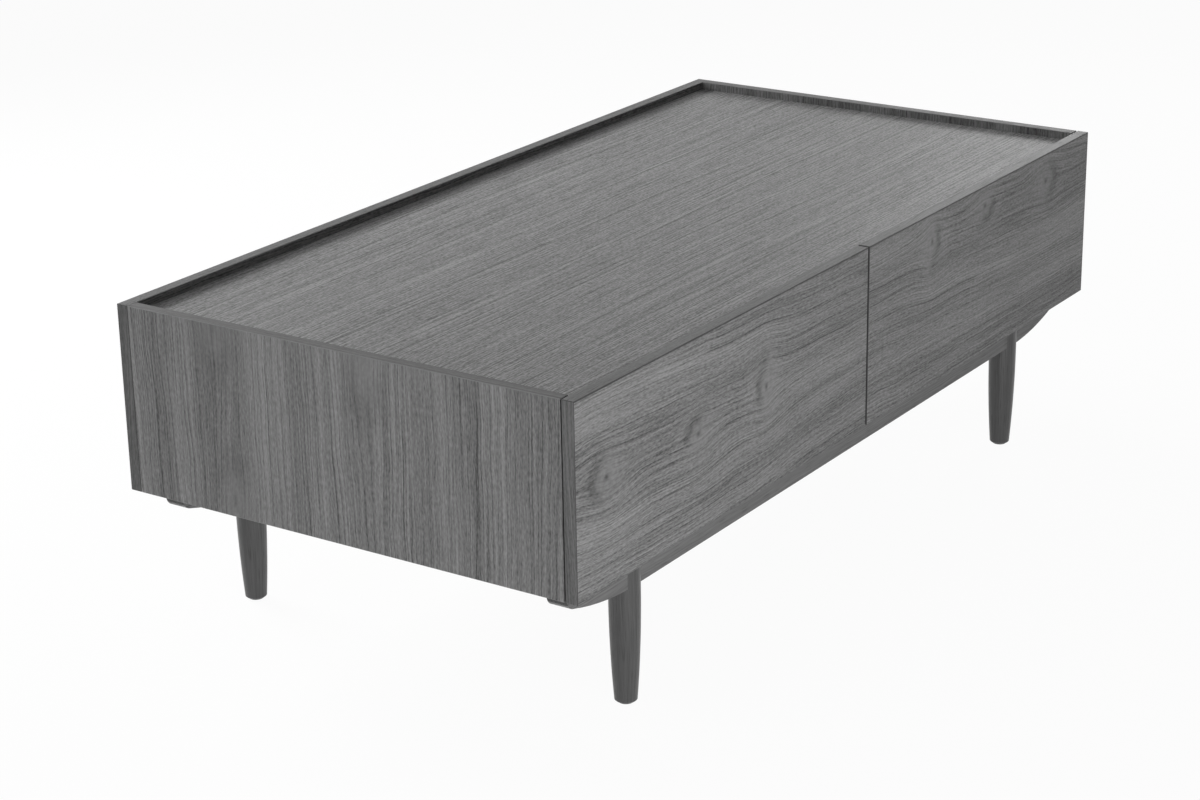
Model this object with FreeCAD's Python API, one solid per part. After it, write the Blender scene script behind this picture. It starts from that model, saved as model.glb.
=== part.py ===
"""Low coffee table with a tray top and two handleless drawers, as separate boards, legs and fittings.

Millimetres. X runs along the table, the drawers open towards -Y, Z is up.
The origin is on the floor, under the middle of the table.
"""
import FreeCAD, Part
import math
import os

from FreeCAD import Vector

# Box
table_length = 1200.0
table_depth = 600.0
table_height = 395.0
box_height = 217.5
board = 15.0
tray_depth = 10.0
edge_ease = 0.6

# Drawer fronts
front_gap = 1.5
drawer_gap = 3.0

# Rails
rail_thickness = 25.0
rail_height = 40.0
rail_length = 1154.0
rail_sweep_radius = 390.0
rail_corner_radius = 14.0

# Legs
leg_inset_x = 148.0
leg_inset_y = 42.0
leg_diameter = 35.0
foot_diameter = 25.0
leg_straight = 52.0
foot_bevel = 1.5
taper_steps = 3
glide_diameter = 19.0
glide_thickness = 2.0

# Joints of the box
dowel_diameter = 8.0
dowel_length = 30.0
dowel_in_face = 10.0
dowel_spacing = 400.0
back_dowel_spacing = 120.0
divider_groove = 4.0
fit_clearance = 0.1
end_clearance = 0.5

# Dowels and screws are many-sided rather than round
pin_sides = 8

# Wood screws
leg_screw_diameter = 6.0
leg_screw_head = 12.0
leg_screw_length = 90.0
rail_screw_diameter = 4.5
rail_screw_head = 9.0
rail_screw_length = 45.0
rail_screw_spacing = 560.0
runner_screw_diameter = 3.5
runner_screw_head = 7.0
runner_screw_head_height = 1.2
runner_screw_grip = 9.0

# Drawer boxes
drawer_side = 12.0
side_ease = 1.0
drawer_height = 140.0
drawer_bottom = 4.0
bottom_groove = 5.0
groove_rise = 12.0
front_dado = 6.0
back_dado = 5.0
back_inset = 10.0
bumper_diameter = 8.0
bumper_inset = 60.0

# Roller runners
runner_gap = 12.5
runner_rear_room = 70.0
runner_setback = 2.0
runner_rise = 10.0
runner_sheet = 1.2
bend_radius = 0.8
channel_width = 10.0
flange_gap = 0.5
ledge_width = 10.0
roller_diameter = 16.0
roller_width = 5.0
roller_play = 0.3
roller_side_play = 0.4
roller_inset = 12.0
axle_diameter = 5.0
axle_clearance = 0.05
stop_width = 5.0
travel_loss = 124.0
runner_screw_inset = 60.0
runner_screw_stagger = 16.0

# Places that several pieces share
half_length = table_length / 2
half_depth = table_depth / 2
box_bottom = table_height - box_height
front_back_face = board - half_depth
case_front = front_back_face + front_gap
case_back = half_depth - board
end_inner = half_length - board
tray_floor = table_height - tray_depth
top_underside = tray_floor - board
bottom_upper = box_bottom + board
leg_x = half_length - leg_inset_x
leg_y = half_depth - leg_inset_y
rail_bottom = box_bottom - rail_height
rail_face = leg_y + rail_thickness / 2
runner_base = bottom_upper + runner_rise
track = runner_base + runner_sheet
roller_height = track + roller_play + roller_diameter / 2
flange_under = roller_height + roller_diameter / 2 + roller_play
flange_upper = flange_under + runner_sheet
channel_under = flange_upper + flange_gap
channel_upper = channel_under + runner_sheet
runner_front = case_front + runner_setback
runner_length = case_back - front_back_face - runner_rear_room
drawer_travel = runner_length - travel_loss
drawer_rear = front_back_face + runner_length
cabinet_roller_y = runner_front + roller_inset
drawer_roller_y = drawer_rear - roller_inset
side_bottom = runner_base + runner_sheet
panel_lower = side_bottom + groove_rise
panel_upper = panel_lower + drawer_bottom

X_AXIS = Vector(1, 0, 0)
Y_AXIS = Vector(0, 1, 0)
Z_AXIS = Vector(0, 0, 1)


def block(x0, x1, y0, y1, z0, z1):
    """A box between two opposite corners, given in any order along each axis."""
    low = Vector(min(x0, x1), min(y0, y1), min(z0, z1))
    return Part.makeBox(abs(x1 - x0), abs(y1 - y0), abs(z1 - z0), low)


def eased(solid):
    """The board with all its edges broken by a small chamfer."""
    return solid.makeChamfer(edge_ease, solid.Edges)


def rod(start, direction, diameter, length):
    return Part.makeCylinder(diameter / 2, length, start, direction)


def pin_outline(centre, direction, diameter):
    """A regular polygon across direction, with its corners on a circle."""
    across = X_AXIS if abs(direction.z) > 0.5 else Z_AXIS
    other = direction.cross(across)
    corners = []
    for k in range(pin_sides):
        angle = 2 * math.pi * (k + 0.5) / pin_sides
        corners.append(centre + (across * math.cos(angle) + other * math.sin(angle)) * (diameter / 2))
    return Part.makePolygon(corners + corners[:1])


def pin(start, direction, diameter, length):
    return Part.Face(pin_outline(start, direction, diameter)).extrude(direction * length)


def countersunk(start, direction, head, shank, length, room=0.0):
    """A flat-head screw whose head lies flush at start; room widens and deepens it into its hole."""
    head_length = (head - shank) / 2
    mouth = pin_outline(start, direction, head + 2 * room)
    neck = pin_outline(start + direction * head_length, direction, shank + 2 * room)
    cone = Part.makeLoft([mouth, neck], True, True)
    return cone.fuse(pin(start, direction, shank + 2 * room, length + room)).removeSplitter()


def runner_screw(seat, direction):
    """A low head standing on seat and a shank along direction, through a runner into the wood."""
    height = runner_screw_head_height
    head = pin(seat - direction * height, direction, runner_screw_head, height)
    shank = pin(seat, direction, runner_screw_diameter, runner_sheet + runner_screw_grip)
    return head.fuse(shank).removeSplitter()


def runner_screw_hole(seat, direction):
    bore = runner_screw_diameter + 2 * fit_clearance
    return pin(seat, direction, bore, runner_sheet + runner_screw_grip + end_clearance)


def edges_at(solid, corners):
    """The edges along Y that stand at the given (x, z) corners."""
    def at_corner(edge):
        ends = [vertex.Point for vertex in edge.Vertexes]
        return any(
            all(abs(p.x - x) < 1e-6 and abs(p.z - z) < 1e-6 for p in ends) for x, z in corners
        )
    return [edge for edge in solid.Edges if at_corner(edge)]


def rounded_bends(solid, corners, radius):
    return solid.makeFillet(radius, edges_at(solid, corners))


def write(name, *solids):
    shape = solids[0] if len(solids) == 1 else Part.makeCompound(list(solids))
    shape.exportStep(f"parts/{name}.step")


# Dowels: (start in a board's face, direction into the other board's edge)
def carcass_dowel_places():
    places = []
    for side in (-1, 1):
        inward = X_AXIS * -side
        for y in (-dowel_spacing / 2, dowel_spacing / 2):
            for z in (tray_floor - board / 2, box_bottom + board / 2):
                start = Vector(side * (end_inner + dowel_in_face), y, z)
                places.append((start, inward))
        middle = (bottom_upper + top_underside) / 2
        for z in (middle - back_dowel_spacing / 2, middle + back_dowel_spacing / 2):
            start = Vector(side * (half_length - board / 2), case_back + dowel_in_face, z)
            places.append((start, -Y_AXIS))
    return places


def dowel_holes():
    bore = dowel_diameter + 2 * fit_clearance
    depth = dowel_length + 2 * end_clearance
    return [
        pin(start - way * end_clearance, way, bore, depth) for start, way in carcass_dowel_places()
    ]


# Screws through the bottom panel: (x, y) of the legs and of the rails between them
leg_places = [(sx * leg_x, sy * leg_y) for sy in (-1, 1) for sx in (-1, 1)]
rail_screw_places = [
    (sx * rail_screw_spacing / 2, sy * leg_y) for sy in (-1, 1) for sx in (-1, 1)
]


def leg_screw(x, y, room=0.0):
    top = Vector(x, y, bottom_upper)
    return countersunk(top, -Z_AXIS, leg_screw_head, leg_screw_diameter, leg_screw_length, room)


def rail_screw(x, y, room=0.0):
    top = Vector(x, y, bottom_upper)
    return countersunk(top, -Z_AXIS, rail_screw_head, rail_screw_diameter, rail_screw_length, room)


def frame_screw_holes():
    holes = [leg_screw(x, y, fit_clearance) for x, y in leg_places]
    return holes + [rail_screw(x, y, fit_clearance) for x, y in rail_screw_places]


# Runners: wall is the x of the face that carries the cabinet runner, way points to the drawer
def runner_walls():
    walls = {}
    for name, side in (("left", -1), ("right", 1)):
        walls[name, "outer"] = (side * end_inner, -side)
        walls[name, "inner"] = (side * board / 2, side)
    return walls


def runner_screw_ys(name, front):
    """Two screw places along a runner; the two drawers' screws miss each other in the divider."""
    shift = runner_screw_stagger if name == "right" else 0.0
    rear = front + runner_length
    return (front + runner_screw_inset + shift, rear - runner_screw_inset + shift)


def cabinet_runner_screws(name, wall, way, make=runner_screw):
    seat = wall + way * runner_sheet
    places = [Vector(seat, y, roller_height) for y in runner_screw_ys(name, runner_front)]
    return [make(place, X_AXIS * -way) for place in places]


def drawer_runner_screws(name, wall, way, make=runner_screw):
    seat = wall + way * (runner_gap - runner_sheet)
    places = [Vector(seat, y, roller_height) for y in runner_screw_ys(name, front_back_face)]
    return [make(place, X_AXIS * way) for place in places]


def axle(x, way, y):
    """A riveted axle stud that stands on a runner at x."""
    reach = roller_width + 2 * roller_side_play
    return rod(Vector(x, y, roller_height), X_AXIS * way, axle_diameter, reach)


def roller(x, way, y):
    """A roller on an axle stud that stands at x."""
    start = Vector(x + way * roller_side_play, y, roller_height)
    tyre = rod(start, X_AXIS * way, roller_diameter, roller_width)
    bore = axle_diameter + 2 * axle_clearance
    return tyre.cut(rod(start, X_AXIS * way, bore, roller_width))


def cabinet_runner(name, wall, way):
    """A channel on the wall that the drawer's rear roller runs in, with a roller stud at its front."""
    def x(w):
        return wall + way * w

    rear = runner_front + runner_length
    channel = block(x(0), x(channel_width), runner_front, rear, runner_base, channel_upper)
    hollow = block(x(runner_sheet), x(channel_width), runner_front, rear, track, channel_under)
    channel = channel.cut(hollow)
    inner = [(x(runner_sheet), track), (x(runner_sheet), channel_under)]
    outer = [(x(0), runner_base), (x(0), channel_upper)]
    channel = rounded_bends(channel, inner, bend_radius)
    channel = rounded_bends(channel, outer, bend_radius + runner_sheet)
    stop_face = drawer_roller_y - drawer_travel - roller_diameter / 2 - roller_play
    stop_edge = channel_width - roller_side_play
    stop = block(x(stop_edge - stop_width), x(stop_edge), stop_face - runner_sheet, stop_face,
                 track, roller_height)
    stud = axle(x(runner_sheet), way, cabinet_roller_y)
    holes = cabinet_runner_screws(name, wall, way, runner_screw_hole)
    return channel.fuse([stop, stud]).cut(holes).removeSplitter()


def drawer_runner(name, wall, way):
    """An angled strip under and beside a drawer side, with a running flange and a roller at the rear."""
    def x(w):
        return wall + way * w

    web = runner_gap - runner_sheet
    ledge_end = runner_gap + ledge_width
    flange_edge = runner_sheet + roller_side_play
    strip = block(x(web), x(runner_gap), front_back_face, drawer_rear, runner_base, flange_upper)
    ledge = block(x(web), x(ledge_end), front_back_face, drawer_rear, runner_base, side_bottom)
    flange = block(x(flange_edge), x(runner_gap), front_back_face, drawer_rear, flange_under, flange_upper)
    strip = strip.fuse([ledge, flange]).removeSplitter()
    inner = [(x(web), flange_under), (x(runner_gap), side_bottom)]
    outer = [(x(web), runner_base), (x(runner_gap), flange_upper)]
    strip = rounded_bends(strip, inner, bend_radius)
    strip = rounded_bends(strip, outer, bend_radius + runner_sheet)
    stud = axle(x(web), -way, drawer_roller_y)
    holes = drawer_runner_screws(name, wall, way, runner_screw_hole)
    return strip.fuse(stud).cut(holes).removeSplitter()


# Box of the table
def end_panel(side):
    panel = eased(block(side * end_inner, side * half_length, case_front, case_back, box_bottom, table_height))
    name = "left" if side < 0 else "right"
    wall, way = runner_walls()[name, "outer"]
    return panel.cut(dowel_holes() + cabinet_runner_screws(name, wall, way, runner_screw_hole))


def back_panel():
    panel = eased(block(-half_length, half_length, case_back, half_depth, box_bottom, table_height))
    return panel.cut(dowel_holes())


def divider_body():
    """The divider, whose upper and lower edges are housed in the panels above and below."""
    return block(-board / 2, board / 2, case_front, case_back,
                 bottom_upper - divider_groove, top_underside + divider_groove)


def top_panel():
    panel = block(-end_inner, end_inner, case_front, case_back, top_underside, tray_floor)
    return panel.cut(dowel_holes() + [divider_body()])


def bottom_panel():
    """Ends at the face of the front rail, which leaves a finger slot behind the drawer fronts."""
    panel = block(-end_inner, end_inner, -rail_face, case_back, box_bottom, bottom_upper)
    return panel.cut(dowel_holes() + [divider_body()] + frame_screw_holes())


def centre_divider():
    """The divider's lower front corner is cut back to the edge of the bottom panel."""
    corner = block(-board / 2, board / 2, case_front, -rail_face, bottom_upper - divider_groove, bottom_upper)
    holes = [corner]
    for name in ("left", "right"):
        wall, way = runner_walls()[name, "inner"]
        holes += cabinet_runner_screws(name, wall, way, runner_screw_hole)
    return divider_body().cut(holes)


# Rails and legs
def rail(side):
    """A board on edge whose lower edge sweeps up from the legs to rounded ends."""
    end = rail_length / 2
    sweep_centre = Vector(leg_x, 0, rail_bottom + rail_sweep_radius)
    reach = rail_sweep_radius - rail_corner_radius
    across = end - rail_corner_radius - leg_x
    corner_centre = sweep_centre + Vector(across, 0, -math.sqrt(reach ** 2 - across ** 2))
    turn = math.asin(across / reach)

    def on_arc(centre, radius, angle):
        return centre + Vector(radius * math.sin(angle), 0, -radius * math.cos(angle))

    start = on_arc(sweep_centre, rail_sweep_radius, 0)
    joint = on_arc(sweep_centre, rail_sweep_radius, turn)
    sweep = (start, on_arc(sweep_centre, rail_sweep_radius, turn / 2), joint)
    corner_middle = on_arc(corner_centre, rail_corner_radius, (turn + math.pi / 2) / 2)
    corner = (joint, corner_middle, corner_centre + Vector(rail_corner_radius, 0, 0))
    top = Vector(end, 0, box_bottom)

    def mirrored(point):
        return Vector(-point.x, point.y, point.z)

    edges = [
        Part.Arc(*sweep).toShape(),
        Part.Arc(*corner).toShape(),
        Part.LineSegment(corner[2], top).toShape(),
        Part.LineSegment(top, mirrored(top)).toShape(),
        Part.LineSegment(mirrored(top), mirrored(corner[2])).toShape(),
        Part.Arc(*[mirrored(p) for p in reversed(corner)]).toShape(),
        Part.Arc(*[mirrored(p) for p in reversed(sweep)]).toShape(),
        Part.LineSegment(mirrored(start), start).toShape(),
    ]
    outline = Part.Face(Part.Wire(edges))
    outline.translate(Vector(0, side * leg_y - rail_thickness / 2, 0))
    solid = outline.extrude(Y_AXIS * rail_thickness)
    return solid.cut(frame_screw_holes())


def leg_profile():
    """The turned outline from the foot up: a broken edge, a swelling taper and a straight shank."""
    shank = leg_diameter / 2
    foot = foot_diameter / 2
    taper_top = box_bottom - leg_straight
    taper_height = taper_top - glide_thickness

    def taper_radius(z):
        return shank - (shank - foot) * ((taper_top - z) / taper_height) ** 2

    taper_start = glide_thickness + foot_bevel
    points = [Vector(0, 0, glide_thickness)]
    points.append(Vector(taper_radius(taper_start) - foot_bevel, 0, glide_thickness))
    for k in range(taper_steps + 1):
        z = taper_start + (taper_top - taper_start) * k / taper_steps
        points.append(Vector(taper_radius(z), 0, z))
    points.append(Vector(shank, 0, box_bottom))
    points.append(Vector(0, 0, box_bottom))
    return Part.Face(Part.makePolygon(points + points[:1]))


def leg(x, y):
    """A turned leg whose top straddles the rail in an open slot."""
    solid = leg_profile().revolve(Vector(0, 0, 0), Z_AXIS, 360)
    slot = block(-leg_diameter, leg_diameter, -rail_thickness / 2, rail_thickness / 2, rail_bottom, box_bottom)
    solid = solid.cut(slot)
    solid.translate(Vector(x, y, 0))
    return solid.cut(leg_screw(x, y, fit_clearance))


# Drawers
class Drawer:
    """One drawer: side is -1 for the left one and 1 for the right one."""

    def __init__(self, name, side):
        self.name = name
        self.side = side
        walls = runner_walls()
        self.walls = {place: walls[name, place] for place in ("outer", "inner")}

    def side_faces(self, place):
        """The x of a drawer side's outer and inner face."""
        wall, way = self.walls[place]
        return wall + way * runner_gap, wall + way * (runner_gap + drawer_side)

    def side_body(self, place):
        outer, inner = self.side_faces(place)
        return block(outer, inner, front_back_face - front_dado, drawer_rear, side_bottom, side_bottom + drawer_height)

    def bottom_body(self):
        left, right = sorted(
            wall + way * (runner_gap + drawer_side - bottom_groove) for wall, way in self.walls.values()
        )
        return block(left, right, front_back_face - front_dado, drawer_rear, panel_lower, panel_upper)

    def back_body(self):
        left, right = sorted(
            wall + way * (runner_gap + drawer_side - back_dado) for wall, way in self.walls.values()
        )
        rear = drawer_rear - back_inset
        return block(left, right, rear - drawer_side, rear, panel_upper, side_bottom + drawer_height)

    def front(self):
        """The front, with grooves in its back face for the sides and the bottom."""
        inner = self.side * drawer_gap / 2
        outer = self.side * half_length
        panel = eased(block(inner, outer, -half_depth, front_back_face, box_bottom, table_height))
        return panel.cut([self.side_body("outer"), self.side_body("inner"), self.bottom_body()])

    def side_panel(self, place):
        """A side with broken long edges, the lower one clear of the bend in its runner."""
        wall, way = self.walls[place]
        levels = (side_bottom, side_bottom + drawer_height)
        corners = [(x, z) for x in self.side_faces(place) for z in levels]
        panel = self.side_body(place)
        panel = panel.makeChamfer(side_ease, edges_at(panel, corners))
        holes = drawer_runner_screws(self.name, wall, way, runner_screw_hole)
        return panel.cut([self.bottom_body(), self.back_body()] + holes)

    def bumpers(self):
        """Two soft stops behind the front that meet the front edge of the top panel."""
        z = tray_floor - board / 2
        ends = (self.side * (board / 2 + bumper_inset), self.side * (end_inner - bumper_inset))
        return [pin(Vector(x, front_back_face, z), Y_AXIS, bumper_diameter, front_gap) for x in ends]

    def write(self):
        name = f"{self.name}_drawer"
        write(f"{name}_front", self.front())
        write(f"{name}_bottom", self.bottom_body())
        write(f"{name}_back", self.back_body())
        write(f"{name}_bumpers", *self.bumpers())
        front_rollers = []
        rear_rollers = []
        screws = []
        for place, (wall, way) in self.walls.items():
            write(f"{name}_{place}_side", self.side_panel(place))
            write(f"{name}_{place}_cabinet_runner", cabinet_runner(self.name, wall, way))
            write(f"{name}_{place}_drawer_runner", drawer_runner(self.name, wall, way))
            front_rollers.append(roller(wall + way * runner_sheet, way, cabinet_roller_y))
            web = wall + way * (runner_gap - runner_sheet)
            rear_rollers.append(roller(web, -way, drawer_roller_y))
            screws += drawer_runner_screws(self.name, wall, way)
        write(f"{name}_front_rollers", *front_rollers)
        write(f"{name}_rear_rollers", *rear_rollers)
        write(f"{name}_runner_screws", *screws)


os.makedirs("parts", exist_ok=True)

write("top_panel", top_panel())
write("bottom_panel", bottom_panel())
write("back_panel", back_panel())
write("left_end_panel", end_panel(-1))
write("right_end_panel", end_panel(1))
write("centre_divider", centre_divider())
write("carcass_dowels", *[pin(start, way, dowel_diameter, dowel_length) for start, way in carcass_dowel_places()])

write("front_rail", rail(-1))
write("rear_rail", rail(1))
write("front_legs", *[leg(x, y) for x, y in leg_places if y < 0])
write("rear_legs", *[leg(x, y) for x, y in leg_places if y > 0])
write("leg_screws", *[leg_screw(x, y) for x, y in leg_places])
write("rail_screws", *[rail_screw(x, y) for x, y in rail_screw_places])
write("foot_glides", *[pin(Vector(x, y, 0), Z_AXIS, glide_diameter, glide_thickness) for x, y in leg_places])

cabinet_screws = []
for (name, place), (wall, way) in runner_walls().items():
    cabinet_screws += cabinet_runner_screws(name, wall, way)
write("cabinet_runner_screws", *cabinet_screws)

for drawer_name, drawer_side_sign in (("left", -1), ("right", 1)):
    Drawer(drawer_name, drawer_side_sign).write()
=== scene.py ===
# %% [markdown]
# # A coffee table with two drawers
#
# The real table is a low box of veneered board on turned legs. Its top lies a finger's width below the
# rim, so that it makes a tray, and its two drawer fronts have no handles: fingers reach them from below.
#
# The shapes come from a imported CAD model, which is loaded first and stays where it is. This lesson dresses
# it: it sets up a camera and a plain studio, builds wood and metal from shader nodes, and turns smooth legs,
# rollers and screws to take the place of the plain ones.

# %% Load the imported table
import math

import bmesh
import bpy
from mathutils import Matrix, Vector


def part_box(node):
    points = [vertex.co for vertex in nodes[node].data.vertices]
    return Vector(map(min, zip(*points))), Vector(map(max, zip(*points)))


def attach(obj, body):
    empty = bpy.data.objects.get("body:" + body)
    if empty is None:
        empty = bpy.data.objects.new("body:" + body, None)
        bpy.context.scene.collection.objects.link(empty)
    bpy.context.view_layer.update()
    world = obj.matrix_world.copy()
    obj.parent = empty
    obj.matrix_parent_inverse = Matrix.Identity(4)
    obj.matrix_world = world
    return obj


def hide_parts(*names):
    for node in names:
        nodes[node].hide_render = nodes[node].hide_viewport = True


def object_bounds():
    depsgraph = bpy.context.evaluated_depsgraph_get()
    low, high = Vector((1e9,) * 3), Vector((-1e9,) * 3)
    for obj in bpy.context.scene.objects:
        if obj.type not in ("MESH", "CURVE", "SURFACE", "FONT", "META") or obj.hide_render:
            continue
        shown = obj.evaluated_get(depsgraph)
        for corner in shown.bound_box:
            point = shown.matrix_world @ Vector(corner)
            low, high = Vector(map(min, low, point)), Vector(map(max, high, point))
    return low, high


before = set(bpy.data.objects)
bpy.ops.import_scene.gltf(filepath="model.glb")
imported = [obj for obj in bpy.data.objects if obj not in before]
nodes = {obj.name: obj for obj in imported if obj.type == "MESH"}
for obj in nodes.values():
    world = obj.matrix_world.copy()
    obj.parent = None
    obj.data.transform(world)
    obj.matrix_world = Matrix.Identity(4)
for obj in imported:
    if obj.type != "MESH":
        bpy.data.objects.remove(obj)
cad_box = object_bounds()
low, high = cad_box
print("table of", len(nodes), "pieces,", [round(side, 3) for side in high - low], "m")

# %% [markdown]
# ## The camera
#
# The photograph was taken with a long lens from in front of the left end, a little above the table. A camera
# can be placed by eye, but here its place, its three angles and its focal length were fitted to the table's
# corners, so that the render can be laid over the photograph. The view direction gives the camera's own
# right and up axes, and roll turns those two about it.

# %% Camera
CAMERA_PLACE = Vector((-2.6702, -1.7284, 1.3159))
CAMERA_HEADING = math.radians(55.980)
CAMERA_DIP = math.radians(20.078)
CAMERA_ROLL = math.radians(-0.991)
CAMERA_LENS = 82.72
SENSOR = 36.0

ahead = Vector((
    math.sin(CAMERA_HEADING) * math.cos(CAMERA_DIP),
    math.cos(CAMERA_HEADING) * math.cos(CAMERA_DIP),
    -math.sin(CAMERA_DIP),
))
level = ahead.cross(Vector((0, 0, 1))).normalized()
upright = level.cross(ahead)
right = level * math.cos(CAMERA_ROLL) + upright * math.sin(CAMERA_ROLL)
up = upright * math.cos(CAMERA_ROLL) - level * math.sin(CAMERA_ROLL)

camera = bpy.data.objects.new("camera", bpy.data.cameras.new("camera"))
camera.data.sensor_fit = "HORIZONTAL"
camera.data.sensor_width = SENSOR
camera.data.lens = CAMERA_LENS
camera.matrix_world = Matrix.Translation(CAMERA_PLACE) @ Matrix((right, up, -ahead)).transposed().to_4x4()
bpy.context.scene.collection.objects.link(camera)
bpy.context.scene.camera = camera
print("camera", round((CAMERA_PLACE - (low + high) / 2).length, 2), "m from the table's middle")

# %% [markdown]
# ## Nodes in few words
#
# A shader is a tree of nodes, whose sockets are linked or hold plain values. In Blender's own words each
# node takes several lines. Two helpers shorten this: one feeds a socket with whatever it is given, and the
# other adds a node with its settings and its feeds.

# %% Feeding nodes
def feed(tree, value, socket):
    """Links a wire or a socket to the socket, or sets a plain value on it."""
    if isinstance(value, Wire):
        value = value.socket
    if isinstance(value, bpy.types.NodeSocket):
        tree.links.new(value, socket)
    else:
        socket.default_value = value


def add_node(tree, kind, feeds=None, **settings):
    """Adds a node with its settings, and feeds its inputs by name or number."""
    node = tree.nodes.new(kind)
    for name, value in settings.items():
        setattr(node, name, value)
    for name, value in (feeds or {}).items():
        feed(tree, value, node.inputs[name])
    return node


print("helpers for nodes:", feed.__name__, "and", add_node.__name__)

# %% [markdown]
# ## Arithmetic with node sockets
#
# Wood needs a fair amount of arithmetic in its shaders. Every sum could be a Math node placed by hand, but
# then nobody could read the formula. A `Wire` holds one socket of a node tree and answers to +, -, * and /,
# adding the Math node by itself, so the formulas below look like formulas.

# %% Wires
class Wire:
    """A value in a node tree that can be calculated with."""

    def __init__(self, tree, socket):
        self.tree = tree
        self.socket = socket

    def maths(self, operation, *values):
        """A Math node's result for this wire and the values."""
        feeds = dict(enumerate((self, *values)))
        return Wire(self.tree, add_node(self.tree, "ShaderNodeMath", feeds, operation=operation).outputs[0])

    def __add__(self, other):
        return self.maths("ADD", other)

    def __sub__(self, other):
        return self.maths("SUBTRACT", other)

    def __mul__(self, other):
        return self.maths("MULTIPLY", other)

    def __truediv__(self, other):
        return self.maths("DIVIDE", other)

    def __pow__(self, other):
        return self.maths("POWER", other)

    def __abs__(self):
        return self.maths("ABSOLUTE")

    def spread(self, start, end):
        """Maps start to 0 and end to 1, smoothly and without leaving that range."""
        feeds = {0: self, 1: start, 2: end}
        node = add_node(self.tree, "ShaderNodeMapRange", feeds, interpolation_type="SMOOTHSTEP")
        return Wire(self.tree, node.outputs["Result"])


print("a class of sockets that can be calculated with:", Wire.__name__)

# %% [markdown]
# ## A pale studio
#
# The table stands on a pale floor that runs on to a white background. The floor could simply glow, but then
# the table would seem to float. So the floor is a matt surface that catches the table's shadow and throws
# light up onto the fronts, and only what the camera and mirror-like rays see of it is mixed towards white.
# The Light Path node tells these rays from the others.

# %% Rays, greys and objects
def seen_directly(tree):
    """1 for rays from the camera, from gloss and through glass; 0 for the rays that light things."""
    path = add_node(tree, "ShaderNodeLightPath")
    seen = Wire(tree, path.outputs["Is Camera Ray"])
    for title in ("Is Glossy Ray", "Is Transmission Ray"):
        seen = seen.maths("MAXIMUM", path.outputs[title])
    return seen


def grey(tone):
    """An opaque colour without hue."""
    return (tone, tone, tone, 1.0)


def piece_from(bm, name):
    """Turns an edited mesh into an object of the scene."""
    mesh = bpy.data.meshes.new(name)
    bm.to_mesh(mesh)
    bm.free()
    piece = bpy.data.objects.new(name, mesh)
    bpy.context.scene.collection.objects.link(piece)
    return piece


print("helpers for the studio:", seen_directly.__name__, grey.__name__, piece_from.__name__)

# %% [markdown]
# The floor is a grid that reaches far past the picture.

# %% Floor
FLOOR_REACH = 40.0
FLOOR_WHITENING = 0.96
FLOOR_TONE = 0.86

floor_finish = bpy.data.materials.new("studio_floor")
floor_finish.use_nodes = True
tree = floor_finish.node_tree
tree.nodes.clear()
matt = add_node(tree, "ShaderNodeBsdfDiffuse", {"Color": grey(FLOOR_TONE)}).outputs[0]
glow = add_node(tree, "ShaderNodeEmission", {"Color": grey(1.0), "Strength": 1.0}).outputs[0]
mix = add_node(tree, "ShaderNodeMixShader", {0: seen_directly(tree) * FLOOR_WHITENING, 1: matt, 2: glow})
add_node(tree, "ShaderNodeOutputMaterial", {"Surface": mix.outputs[0]})

bm = bmesh.new()
bmesh.ops.create_grid(bm, x_segments=4, y_segments=4, size=FLOOR_REACH / 2)
floor = piece_from(bm, "floor")
floor.data.materials.append(floor_finish)
print("floor of", FLOOR_REACH, "m")

# %% [markdown]
# The world behind the floor is white to the same rays, so that no horizon shows, and a quiet grey light to
# all others. Colours are shown as they are, by the Standard view, because the default one would dull white.

# %% World
WORLD_LIGHT = 0.05

world = bpy.data.worlds.new("studio")
world.use_nodes = True
tree = world.node_tree
tree.nodes.clear()
ambient = add_node(tree, "ShaderNodeBackground", {"Color": grey(1.0), "Strength": WORLD_LIGHT}).outputs[0]
backdrop = add_node(tree, "ShaderNodeBackground", {"Color": grey(1.0), "Strength": 1.0}).outputs[0]
mix = add_node(tree, "ShaderNodeMixShader", {0: seen_directly(tree), 1: ambient, 2: backdrop})
add_node(tree, "ShaderNodeOutputWorld", {"Surface": mix.outputs[0]})
bpy.context.scene.world = world
bpy.context.scene.view_settings.view_transform = "Standard"
print("white world with a light of", WORLD_LIGHT)

# %% [markdown]
# ## Soft lamps
#
# The rear and the far wall of the tray throw a soft shadow on the top, so the light on the top comes from
# behind the table and from beyond its far end. A weaker lamp high over the near end reaches the inside of
# the far wall. The fronts and the ends are lit from low lamps, below the rim, which keeps the inside of the
# rim dark. Area lamps are used rather than points or suns because their size makes the shadows' edges soft.
# The camera doesn't see the lamps, so that none stands in the way when the table is seen from another side.

# %% Lamps
LAMPS = {
    "behind": {"place": (0.3, 2.9, 1.5), "size": (1.8, 0.9), "power": 46.0},
    "beyond_far_end": {"place": (3.2, 0.3, 1.6), "size": (1.8, 0.9), "power": 9.5},
    "high_near_end": {"place": (-2.2, 0.5, 2.0), "size": (1.2, 0.8), "power": 5.2},
    "above_front": {"place": (0.2, -1.3, 2.2), "size": (1.2, 0.8), "power": 0.7},
    "low_left_front": {"place": (-1.5, -2.4, 0.25), "size": (1.4, 0.3), "power": 8.3},
    "low_left_near": {"place": (-1.6, -1.8, 0.25), "size": (0.8, 0.3), "power": 5.0},
    "low_near_end": {"place": (-2.4, 0.7, 0.25), "size": (1.0, 0.3), "power": 1.1},
}
LAMP_TARGET = Vector((0.0, 0.0, 0.28))
LAMP_SPREAD = math.radians(110)


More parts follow.
